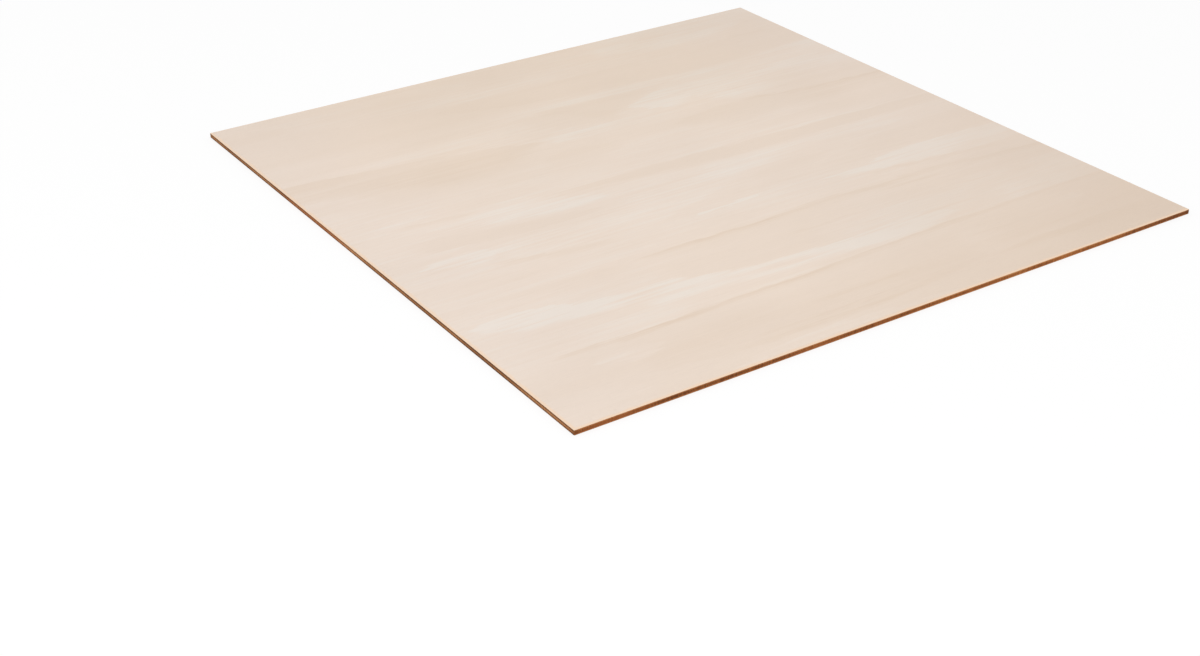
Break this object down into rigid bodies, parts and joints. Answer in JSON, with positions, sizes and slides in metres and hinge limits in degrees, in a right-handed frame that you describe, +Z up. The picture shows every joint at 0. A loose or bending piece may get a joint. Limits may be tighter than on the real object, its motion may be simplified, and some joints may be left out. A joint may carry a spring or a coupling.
{
  "type": "plywood sheet",
  "caption": "Thin flat square board of cross-laid wood veneers with straight browned cut edges; raw stock for cutting, gluing and model making.",
  "frame": {"origin": "under the middle of the sheet, on the surface that it lies on", "axes": "+X along the grain of the face veneer, +Y across that grain, +Z up out of the face"},
  "size_m": [0.3, 0.3, 0.002],
  "materials": {
    "basswood_ply": "raw sanded pale veneer with a faint rotary-cut figure, dull; cut edges browned by heat"
  },
  "bodies": {
    "root": {"plywood_sheet": "basswood_ply"}
  },
  "joints": []
}
